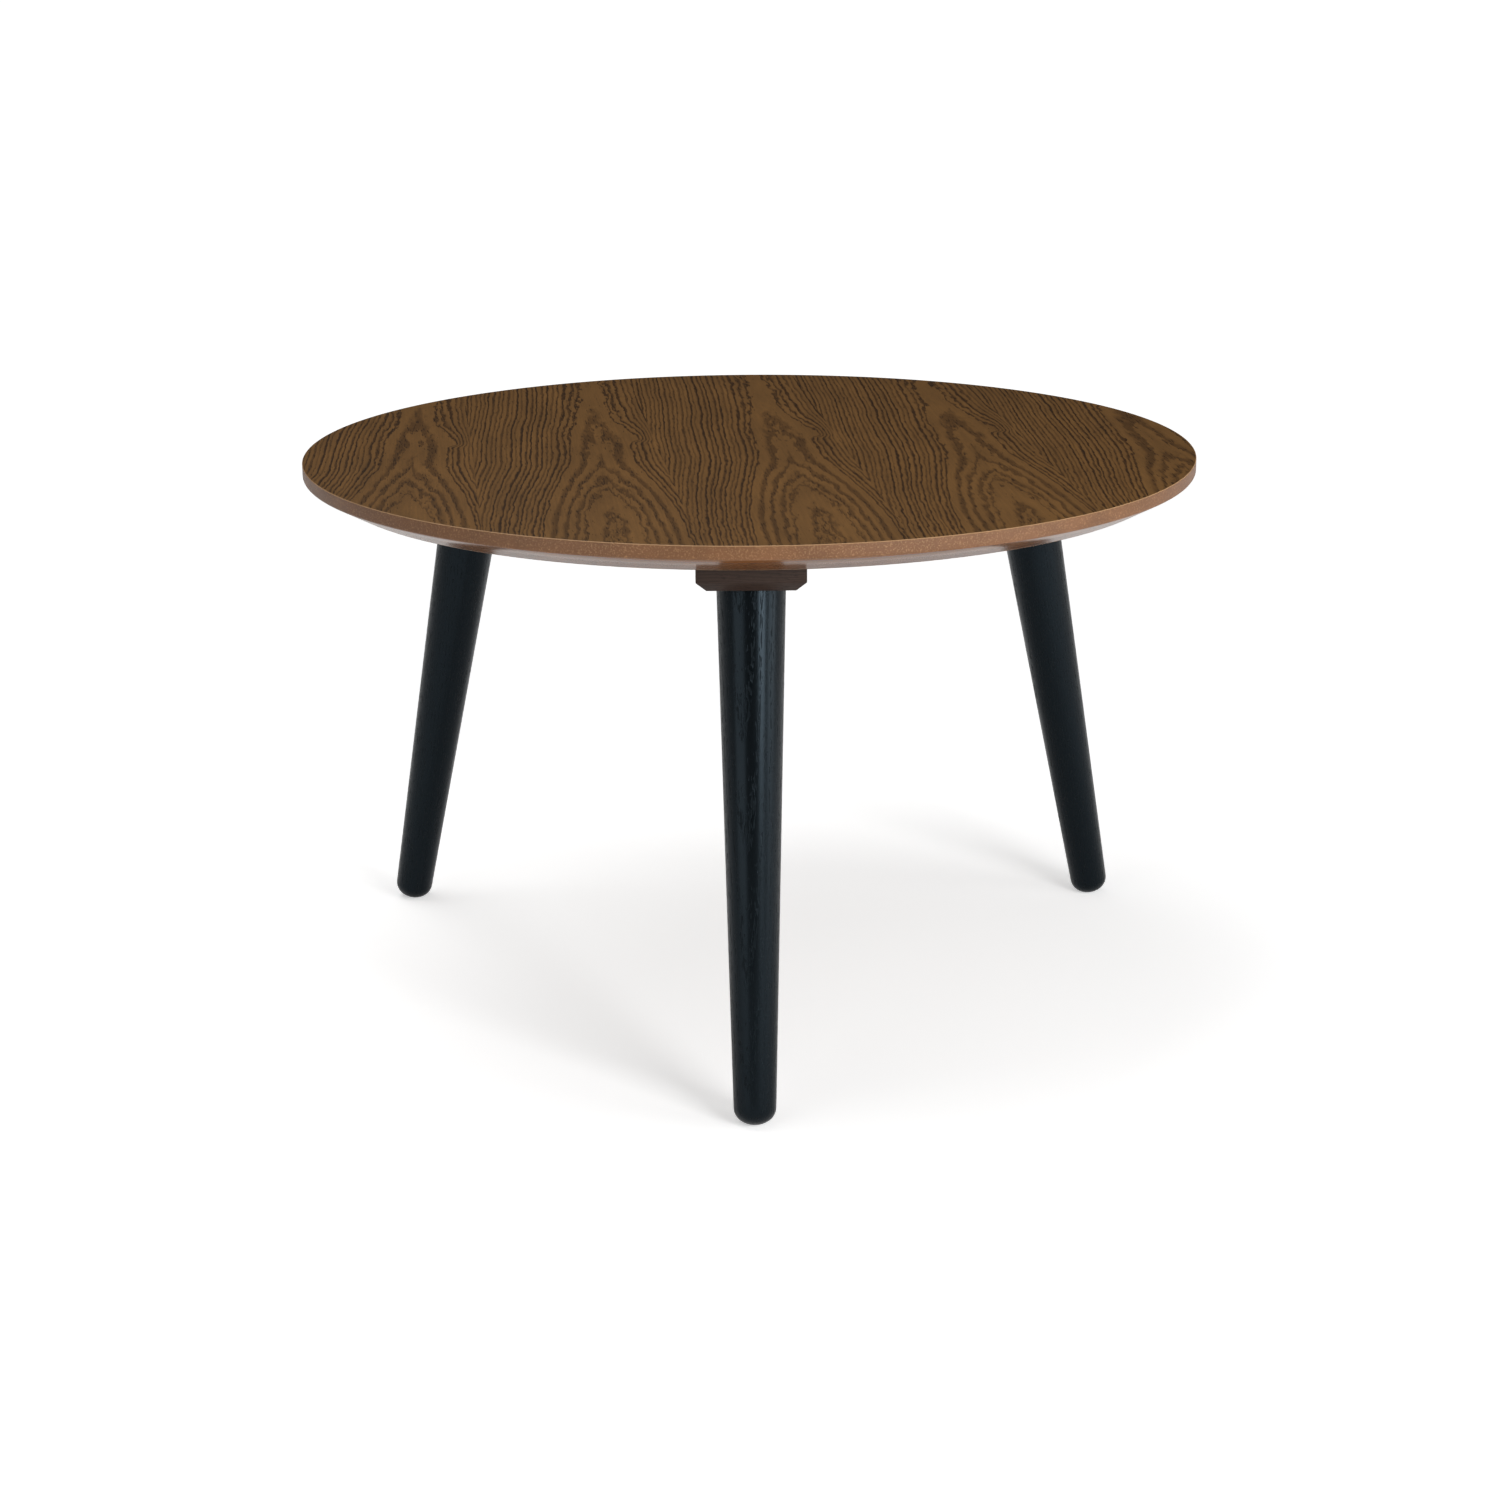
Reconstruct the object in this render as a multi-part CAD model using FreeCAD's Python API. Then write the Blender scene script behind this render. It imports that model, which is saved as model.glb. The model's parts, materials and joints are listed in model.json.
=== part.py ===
import FreeCAD, Part
import math
import os

# Round cocktail table: a veneered disc with a bevelled edge, on three turned legs that unscrew.
# Millimetres. The origin is on the floor below the middle of the top, +Z is up and the front is -Y.

# Top
top_diameter = 750.0
table_height = 460.0
core_thickness = 23.0
veneer_thickness = 0.6
rim_band_height = 11.0
rim_arris = 0.7  # sanded off the edge of the face veneer
rim_corner_radius = 2.0
bevel_inset = 25.0

# Face veneer, laid in leaves side by side from the left
leaf_width = 157.2
first_leaf_width = 141.8
grain_turn = 6.0  # degrees from the Y axis, anticlockwise from above

# Legs
leg_names = ("front", "right", "left")
front_leg_angle = -90.0
leg_splay = 12.0  # degrees from upright
leg_head_diameter = 54.0
leg_head_chamfer = 1.0
leg_foot_diameter = 33.0
foot_cap_radius = 20.0
foot_edge_radius = 13.0
foot_flat_depth = 0.5  # taken off the domed foot where it stands

# Mounting blocks, each with a tilted socket for the head of a leg
block_height = 24.0
block_margin = 15.0  # of the block past the head of the leg, on each side
block_chamfer = 8.0
block_setback = 26.5  # from the inner edge of the bevel to the block
socket_depth = 7.0  # along the leg
socket_clearance = 0.5

# Threaded insert in the block and hanger bolt in the leg
bolt_diameter = 8.0
bolt_length_in_leg = 45.0
bolt_tip_length = 8.0
bolt_end_chamfer = 1.0
bolt_end_gap = 1.0  # from the end of the bolt to the inner end of the insert
insert_wall = 2.25
insert_flange_diameter = 17.0
insert_flange_thickness = 1.6
insert_cover = 1.2  # wood left between the insert and the top of the block
thread_clearance = 0.05

# Countersunk screws that hold a block to the top
screw_diameter = 4.5
screw_head_diameter = 9.0
screw_head_land = 0.5
screw_head_recess = 1.0
screw_bite = 13.0  # depth of the tip in the core
screw_tip_length = 6.0
screw_edge_distance = 15.0
screw_clearance = 0.05
drive_span = 4.6
drive_slot = 1.0
drive_depth = 1.8

# Places that follow from the sizes above
splay = math.radians(leg_splay)
top_radius = top_diameter / 2
face_bottom = table_height - veneer_thickness
core_bottom = face_bottom - core_thickness
top_bottom = core_bottom - veneer_thickness
bevel_top = table_height - rim_band_height
underside_radius = top_radius - bevel_inset
block_bottom = top_bottom - block_height
block_width = leg_head_diameter + 2 * block_margin
block_radius = underside_radius - block_setback - block_width / 2
seat_radius = block_radius - socket_depth * math.sin(splay)
seat_height = block_bottom + socket_depth * math.cos(splay)
bolt_radius = bolt_diameter / 2
insert_radius = bolt_radius + thread_clearance + insert_wall
insert_reach = top_bottom - insert_cover - seat_height - insert_radius * math.sin(splay)
insert_length = insert_reach / math.cos(splay)
bolt_projection = insert_length - bolt_end_gap
screw_length = block_height - screw_head_recess + veneer_thickness + screw_bite
screw_offset = block_width / 2 - screw_edge_distance
same_place = 0.001

up = FreeCAD.Vector(0, 0, 1)
tangent = FreeCAD.Vector(0, 1, 0)
centre = FreeCAD.Vector(0, 0, 0)


# A solid turned about the Z axis from its outline, given as radius and height.
def turned(outline):
    points = [FreeCAD.Vector(radius, 0, height) for radius, height in outline]
    face = Part.Face(Part.makePolygon(points + points[:1]))
    return face.revolve(centre, up, 360)


# The round edge of a turned solid at a radius and a height.
def round_edge(solid, radius, height):
    for edge in solid.Edges:
        curve = edge.Curve
        if not isinstance(curve, Part.Circle):
            continue
        if abs(curve.Radius - radius) < same_place and abs(curve.Center.z - height) < same_place:
            return edge


# A slab between two heights, wider than the table.
def level(bottom, top):
    slab = Part.makeCylinder(top_diameter, top - bottom)
    slab.translate(FreeCAD.Vector(0, 0, bottom))
    return slab


# From the upright line of a leg, with its seat at the origin, to where the leg stands in front of +X.
def splayed(shape):
    placed = shape.copy()
    placed.rotate(centre, tangent, -leg_splay)
    placed.translate(FreeCAD.Vector(seat_radius, 0, seat_height))
    return placed


# From in front of +X to the angle of a leg.
def turned_to(shape, angle):
    placed = shape.copy()
    placed.rotate(centre, up, angle)
    return placed


# The whole top before it is parted into veneers and core.
def top_blank():
    blank = turned(
        [
            (0, top_bottom),
            (underside_radius, top_bottom),
            (top_radius, bevel_top),
            (top_radius, face_bottom),
            (top_radius - rim_arris, table_height),
            (0, table_height),
        ]
    )
    return blank.makeFillet(rim_corner_radius, [round_edge(blank, top_radius, bevel_top)])


# The leaves of the face veneer, from left to right.
def veneer_leaves(blank):
    face = blank.common(level(face_bottom, table_height))
    left = -top_diameter
    joint = first_leaf_width - top_radius
    leaves = []
    while left < top_radius:
        strip = Part.makeBox(joint - left, 2 * top_diameter, 2 * table_height)
        strip.translate(FreeCAD.Vector(left, -top_diameter, 0))
        strip.rotate(centre, up, grain_turn)
        leaves.append(face.common(strip))
        left = joint
        joint = joint + leaf_width
    return leaves


# A countersunk screw with its head at the origin and its tip up, with room added all round for its hole.
def screw_envelope(room):
    shank = screw_diameter / 2 + room
    head = screw_head_diameter / 2 + room
    return turned(
        [
            (0, 0),
            (head, 0),
            (head, screw_head_land),
            (shank, screw_head_land + head - shank),
            (shank, screw_length - screw_tip_length),
            (0, screw_length + room),
        ]
    )


# Two crossed slots that take a screwdriver.
def drive_cross():
    slot = Part.makeBox(drive_span, drive_slot, drive_depth)
    slot.translate(FreeCAD.Vector(-drive_span / 2, -drive_slot / 2, 0))
    return slot.fuse(turned_to(slot, 90))


# One shape set out at the four screws of the block in front of +X.
def at_screws(shape, height):
    placed = []
    for along in (-screw_offset, screw_offset):
        for across in (-screw_offset, screw_offset):
            copy = shape.copy()
            copy.translate(FreeCAD.Vector(block_radius + along, across, height))
            placed.append(copy)
    return Part.makeCompound(placed)


# The room that the screws take up, with the way in for their heads.
def screw_holes():
    mouth = Part.makeCylinder(screw_head_diameter / 2 + screw_clearance, screw_head_recess)
    mouth.translate(FreeCAD.Vector(0, 0, -screw_head_recess))
    hole = screw_envelope(screw_clearance).fuse(mouth)
    return at_screws(hole, block_bottom + screw_head_recess)


def block_screws():
    screw = screw_envelope(0).cut(drive_cross())
    return at_screws(screw, block_bottom + screw_head_recess)


# The outside of the insert on the upright line of a leg, with its flange flush with the seat.
def insert_envelope(room):
    body = Part.makeCylinder(insert_radius + room, insert_length + room)
    flange = Part.makeCylinder(insert_flange_diameter / 2 + room, insert_flange_thickness + room)
    return body.fuse(flange)


def insert_nut():
    bore = Part.makeCylinder(bolt_radius + thread_clearance, insert_length)
    return splayed(insert_envelope(0).cut(bore))


# The hanger bolt on the upright line of a leg, with room added all round for its hole.
def bolt_envelope(room):
    radius = bolt_radius + room
    return turned(
        [
            (0, -bolt_length_in_leg - room),
            (radius, -bolt_length_in_leg + bolt_tip_length),
            (radius, bolt_projection - bolt_end_chamfer),
            (radius - bolt_end_chamfer, bolt_projection),
            (0, bolt_projection),
        ]
    )


# A square block with a chamfered lower edge, a tilted socket, an insert and four screws.
def mounting_block():
    block = Part.makeBox(block_width, block_width, block_height)
    block.translate(FreeCAD.Vector(block_radius - block_width / 2, -block_width / 2, block_bottom))
    lower_edges = [edge for edge in block.Edges if edge.BoundBox.ZMax < block_bottom + same_place]
    block = block.makeChamfer(block_chamfer, lower_edges)
    socket = Part.makeCylinder(leg_head_diameter / 2 + socket_clearance, block_width)
    socket.translate(FreeCAD.Vector(0, 0, -block_width))
    block = block.cut(splayed(socket))
    block = block.cut(splayed(insert_envelope(thread_clearance)))
    return block.cut(screw_holes())


# A tapered leg with a domed foot that is levelled where it stands, and a hole for its bolt.
def leg():
    head_radius = leg_head_diameter / 2
    foot_radius = leg_foot_diameter / 2
    cap_height = -(seat_height + foot_flat_depth - foot_cap_radius) / math.cos(splay)
    rim_height = cap_height - math.sqrt(foot_cap_radius**2 - foot_radius**2)
    rim_angle = math.degrees(math.acos(foot_radius / foot_cap_radius))
    shaft = turned(
        [
            (0, 0),
            (head_radius - leg_head_chamfer, 0),
            (head_radius, -leg_head_chamfer),
            (foot_radius, rim_height),
            (0, rim_height),
        ]
    )
    cap = Part.makeSphere(foot_cap_radius, FreeCAD.Vector(0, 0, cap_height), up, -90, -rim_angle, 360)
    body = shaft.fuse(cap)
    body = body.makeFillet(foot_edge_radius, [round_edge(body, foot_radius, rim_height)])
    body = body.cut(bolt_envelope(thread_clearance))
    return splayed(body).common(level(0, table_height))


blank = top_blank()
core = blank.common(level(core_bottom, face_bottom))
backing = blank.common(level(top_bottom, core_bottom))
station = {
    "mounting_block": mounting_block(),
    "block_screws": block_screws(),
    "insert_nut": insert_nut(),
    "hanger_bolt": splayed(bolt_envelope(0)),
    "leg": leg(),
}
pieces = {}
for number, leaf in enumerate(veneer_leaves(blank), start=1):
    pieces[f"veneer_leaf_{number}"] = leaf
for number, name in enumerate(leg_names):
    angle = front_leg_angle + number * 360 / len(leg_names)
    core = core.cut(turned_to(screw_holes(), angle))
    backing = backing.cut(turned_to(screw_holes(), angle))
    for piece, shape in station.items():
        pieces[f"{piece}_{name}"] = turned_to(shape, angle)
pieces["top_core"] = core
pieces["backing_veneer"] = backing

os.makedirs("parts", exist_ok=True)
for name, shape in pieces.items():
    piece = Part.makeCompound(shape.Solids) if len(shape.Solids) > 1 else shape.Solids[0]
    piece.exportStep(f"parts/{name}.step")
    print(name, len(piece.Solids), "solid(s)", round(piece.Volume / 1000, 2), "cm3", piece.isValid())
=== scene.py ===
import json
import math

import bmesh
import bpy
from mathutils import Matrix, Vector


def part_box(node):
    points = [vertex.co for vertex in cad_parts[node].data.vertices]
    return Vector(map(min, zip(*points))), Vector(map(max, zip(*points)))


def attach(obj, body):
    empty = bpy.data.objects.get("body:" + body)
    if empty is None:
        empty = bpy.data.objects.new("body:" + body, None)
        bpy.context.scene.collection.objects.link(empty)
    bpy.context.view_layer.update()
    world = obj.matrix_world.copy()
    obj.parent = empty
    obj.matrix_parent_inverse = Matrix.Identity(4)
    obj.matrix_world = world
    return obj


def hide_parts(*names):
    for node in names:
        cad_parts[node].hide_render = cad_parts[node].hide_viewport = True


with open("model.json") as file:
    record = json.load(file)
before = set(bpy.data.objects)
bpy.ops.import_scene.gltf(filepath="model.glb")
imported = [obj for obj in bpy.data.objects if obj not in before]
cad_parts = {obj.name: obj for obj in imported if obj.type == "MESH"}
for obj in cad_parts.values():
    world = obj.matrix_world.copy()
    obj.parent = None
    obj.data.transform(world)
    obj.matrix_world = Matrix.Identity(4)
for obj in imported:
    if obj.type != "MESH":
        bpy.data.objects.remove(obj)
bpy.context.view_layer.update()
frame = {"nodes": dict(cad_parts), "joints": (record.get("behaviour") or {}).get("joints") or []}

# Round cocktail table: walnut-stained ash veneer on a bevelled board, black ash legs that unscrew.
# Metres; the table stands on z = 0 and its front leg points to -y.

scene = bpy.context.scene
scene.view_settings.view_transform = "Standard"
mm = 0.001
lacquerIor = 1.5
noiseLow, noiseHigh = 0.3, 0.7  # nearly all of a noise texture lies between these
legSides = ("front", "right", "left")
hinges = {joint["name"]: joint for joint in frame["joints"]}


def hexToLinear(code):
    channels = [int(code[i : i + 2], 16) / 255 for i in (1, 3, 5)]
    linear = [c / 12.92 if c <= 0.04045 else ((c + 0.055) / 1.055) ** 2.4 for c in channels]
    return (*linear, 1.0)


# adds a node, sets it up, links its inputs and hands back the output asked for
def addNode(tree, kind, inputs=None, out=0, **settings):
    node = tree.nodes.new("ShaderNode" + kind)
    for name, value in settings.items():
        setattr(node, name, value)
    for name, value in (inputs or {}).items():
        if isinstance(value, bpy.types.NodeSocket):
            tree.links.new(value, node.inputs[name])
        else:
            node.inputs[name].default_value = value
    return node.outputs[out] if len(node.outputs) else node


# a curve through the given points, both ways from 0 to 1
def addCurve(tree, value, points, handle="AUTO_CLAMPED"):
    result = addNode(tree, "FloatCurve", {"Value": value})
    mapping = result.node.mapping
    curve = mapping.curves[0]
    curve.points[0].location, curve.points[1].location = points[0], points[-1]
    for point in points[1:-1]:
        curve.points.new(*point)
    for point in curve.points:
        point.handle_type = handle
    mapping.update()
    return result


# noise drawn out to a size along each axis, in the unit of the place it is given
def stretchNoise(tree, place, size, detail=1.0, scale=1.0):
    stretched = addNode(tree, "VectorMath", {0: place, 1: tuple(1 / s for s in size)}, operation="MULTIPLY")
    return addNode(tree, "TexNoise", {"Vector": stretched, "Scale": scale, "Detail": detail}, "Fac")


def newMaterial(name):
    material = bpy.data.materials.new(name)
    material.use_nodes = True
    material.node_tree.nodes.clear()
    return material, material.node_tree


# finishes a material: relief is the bump's strength and its depth in mm, fixed holds what does not vary
def coatSurface(tree, colour, rough, height, relief, fixed, pressed=True):
    strength, depth = relief
    normal = addNode(tree, "Bump", {"Height": height, "Strength": strength, "Distance": depth * mm},
                     invert=pressed)
    surface = addNode(tree, "BsdfPrincipled", {"Base Color": colour, "Roughness": rough, "Normal": normal,
                                               **fixed})
    addNode(tree, "OutputMaterial", {"Surface": surface})


# gives a node that keeps its CAD shape its finish
def dressNode(name, material):
    materials = frame["nodes"][name].data.materials
    materials.clear()
    materials.append(material)


# smooth faces, with edges kept hard where they turn by more than the angle
def shadeByAngle(mesh, angle=30):
    bm = bmesh.new()
    bm.from_mesh(mesh)
    for face in bm.faces:
        face.smooth = True
    for edge in bm.edges:
        edge.smooth = len(edge.link_faces) == 2 and edge.calc_face_angle() < math.radians(angle)
    bm.to_mesh(mesh)
    bm.free()


# stands a piece in its place; "lay" keeps each point's place in the piece's own frame, in mm, for its grain
def standPiece(name, mesh, material, place, body, nodes):
    lay = mesh.attributes.new("lay", "FLOAT_VECTOR", "POINT")
    for vertex, point in zip(mesh.vertices, lay.data):
        point.vector = vertex.co / mm
    mesh.transform(place)
    mesh.materials.clear()
    mesh.materials.append(material)
    piece = bpy.data.objects.new(name, mesh)
    scene.collection.objects.link(piece)
    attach(piece, body)
    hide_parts(*nodes)


# a closed turned mesh from (radius, height) rings, bottom to top; relief changes the radius round the turn
def turnedMesh(name, rings, segments, relief=None, angle=30):
    bm = bmesh.new()
    loops = []
    for radius, height in rings:
        if radius == 0:
            loops.append([bm.verts.new((0, 0, height))])
            continue
        loop = []
        for i in range(segments):
            turn = 2 * math.pi * i / segments
            r = radius + (relief(height, turn) if relief else 0)
            loop.append(bm.verts.new((r * math.cos(turn), r * math.sin(turn), height)))
        loops.append(loop)
    for low, high in zip(loops, loops[1:]):
        for i in range(segments):
            j = (i + 1) % segments
            if len(low) == 1:
                bm.faces.new((low[0], high[j], high[i]))
            elif len(high) == 1:
                bm.faces.new((low[i], low[j], high[0]))
            else:
                bm.faces.new((low[i], low[j], high[j], high[i]))
    for loop, flip in ((loops[0], True), (loops[-1], False)):
        if len(loop) > 1:
            bm.faces.new(loop[::-1] if flip else loop)
    mesh = bpy.data.meshes.new(name)
    bm.to_mesh(mesh)
    bm.free()
    shadeByAngle(mesh, angle)
    return mesh


# points on an arc in the (radius, height) half plane, angles in degrees
def arcPoints(centre, radius, start, end, steps):
    points = []
    for i in range(steps + 1):
        a = math.radians(start + (end - start) * i / steps)
        points.append((centre[0] + radius * math.cos(a), centre[1] + radius * math.sin(a)))
    return points


# frame of a leg: origin on its seat in the block, z up the leg, x outwards
def legPlace(side):
    hinge = hinges[side + "_leg_turn"]
    up = -Vector(hinge["axis"]).normalized()
    across = up.cross(Vector(hinge["pos_m"])).normalized()
    outwards = across.cross(up)
    axes = Matrix((outwards, across, up)).transposed().to_4x4()
    return Matrix.Translation(Vector(hinge["pos_m"])) @ axes


# where the blocks are and how big, from the front one
blockLow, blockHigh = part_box("mounting_block_front")
blockRadius = -(blockLow.y + blockHigh.y) / 2
blockHalf = (blockHigh.x - blockLow.x) / 2
blockTall = blockHigh.z - blockLow.z


# frame of a block: origin in the middle of its underside, x outwards, z up
def blockPlace(side):
    seat = Vector(hinges[side + "_leg_turn"]["pos_m"])
    turn = Matrix.Rotation(math.atan2(seat.y, seat.x), 4, "Z")
    return turn @ Matrix.Translation((blockRadius, 0, blockLow.z))


# holes for the countersunk screws that go up through a block into the board
screwHole = {
    "edge": 15.0 * mm,  # from the sides of the block
    "mouthRadius": 4.55 * mm,
    "mouthDepth": 1.5 * mm,
    "radius": 2.3 * mm,
    "tip": 6.0 * mm,
    "clearance": 0.05 * mm,  # past the tip
    "segments": 48,
}


# closed cutters for the four screws of a block, in the block's frame
def screwCutters():
    s = screwHole
    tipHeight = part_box("block_screws_front")[1].z - blockLow.z + s["clearance"]
    below = -s["mouthRadius"]
    rings = [
        (0, below),
        (s["mouthRadius"], below),
        (s["mouthRadius"], s["mouthDepth"]),
        (s["radius"], s["mouthDepth"] + s["mouthRadius"] - s["radius"]),
        (s["radius"], tipHeight - s["tip"]),
        (0, tipHeight),
    ]
    off = blockHalf - s["edge"]
    cutters = []
    for x, y in ((-off, -off), (-off, off), (off, -off), (off, off)):
        cutter = turnedMesh("screwCutter", rings, s["segments"])
        cutter.transform(Matrix.Translation((x, y, 0)))
        cutters.append(cutter)
    return cutters


# takes the cutters out of a mesh, uses up all of them and hands back the drilled mesh
def drill(mesh, cutters, angle=30):
    bm = bmesh.new()
    for cutter in cutters:
        bm.from_mesh(cutter)
        bpy.data.meshes.remove(cutter)
    bits = bpy.data.meshes.new("bits")
    bm.to_mesh(bits)
    bm.free()
    blank = bpy.data.objects.new("blank", mesh)
    tool = bpy.data.objects.new("tool", bits)
    for thing in (blank, tool):
        scene.collection.objects.link(thing)
    cut = blank.modifiers.new("cut", "BOOLEAN")
    cut.operation, cut.solver, cut.object = "DIFFERENCE", "EXACT", tool
    bpy.context.view_layer.update()
    drilled = bpy.data.meshes.new_from_object(blank.evaluated_get(bpy.context.evaluated_depsgraph_get()))
    for thing in (blank, tool):
        bpy.data.objects.remove(thing)
    for used in (mesh, bits):
        bpy.data.meshes.remove(used)
    shadeByAngle(drilled, angle)
    return drilled


# plain-sliced ash veneer, slip matched, wiped with walnut stain and sealed with a satin lacquer:
# dark porous bands in nested arches, tight straight lines between them, pores as short dashes
veneerFinish = {
    "lightWood": "#715029",
    "darkBand": "#3a2309",
    "poreStain": "#2c1b07",
    # the colour of the sanded edge, made light enough to paint in the highlight on the rounded edge as well
    "sandedEdgeAndHighlight": "#ab8763",
    "wander": ((45.0, 170.0, 4.0), 3.0),  # size and reach in mm
    "lean": 0.03,  # of the heart across the leaf
    # mm along the grain from the middle of the top, and how deep the heart of the crooked log lies there
    "heart": ((-390, 4.0), (-345, 6.5), (-285, 11.0), (-243, 15.5), (-163, 26.0), (-131, 31.0), (-78, 38.2),
              (-42, 41.8), (20, 43.6), (95, 45.5), (180, 50.3), (260, 52.4), (390, 53.5)),
    "heartSlice": 1.8,  # mm up the flitch, the cut that those depths are measured from
    "point": 1.5,  # 2 would make the rings round; less brings the arches to a point
    "years": (3.0, 7.0, 11.0, 26.0, 31.0, 38.2, 45.5, 55.5),  # mm from the heart to where each year starts
    "outerYears": (3.2, 4.6, 2.8, 3.9, 4.4, 3.0, 3.6),  # mm, widths of the years outside those, over and over
    "outermost": 140.0,
    "darkPart": 0.52,  # of a year, in its porous early wood
    "widestBand": 5.0,  # mm
    "fade": (0.5, 1.15),  # parts of the dark part, where it starts to fade and where it is gone
    "yearEdge": 0.08,  # of a year, in which the dark sets in
    "archStrength": 0.58,  # of the bands in the arches; those outside them differ from year to year
    "lineStrength": (0.47, 1.1),
    # size and reach in mm
    "teeth": (((14.0, 50.0, 2.0), 3.0), ((4.0, 22.0, 2.0), 2.6), ((1.3, 9.0, 2.0), 1.4)),
    "fray": 2.4,  # times longer teeth where the heart comes up to the cut
    "calm": (8.0, 36.0, 0.3),  # mm from the heart line over which the teeth die down, and what stays of them
    "kink": (33.0, 55.0),  # mm, where a small knot pulled the fibres aside
    "kinkReach": (16.0, 95.0, 16.0),  # mm across it, above it and below it
    "kinkPull": 6.0,
    "poreSize": (1.0, 14.0, 2.0),  # mm, drawn three times the real width
    "poreLevel": (0.30, 0.53),  # of the noise that opens pores between the bands, and in them
    "poreEdge": 0.08,
    "poreStrength": 0.8,
    "streakSize": (2.2, 140.0, 3.0),  # mm
    "cloudScale": 1.6,  # times as fine as the wander of the grain
    "tone": ((0.6, 1.4), (0.8, 1.2)),  # streaks and clouds together, and how they change the colour
    "fibreSize": (1.2, 60.0, 2.0),  # mm, drawn coarse, in bundles
    "fibreTone": (0.9, 1.1),
    "wearAndHighlight": (0.97, 0.85),  # rise of the normal where the sanded edge with its painted highlight starts and where it is full
    "roughness": 0.5,
    "poreRough": 0.15,  # more in the pores
    "bandSunk": 0.3,  # of the depth of the pores
    "relief": (0.5, 0.04),
    "shine": 0.2,
}


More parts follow.
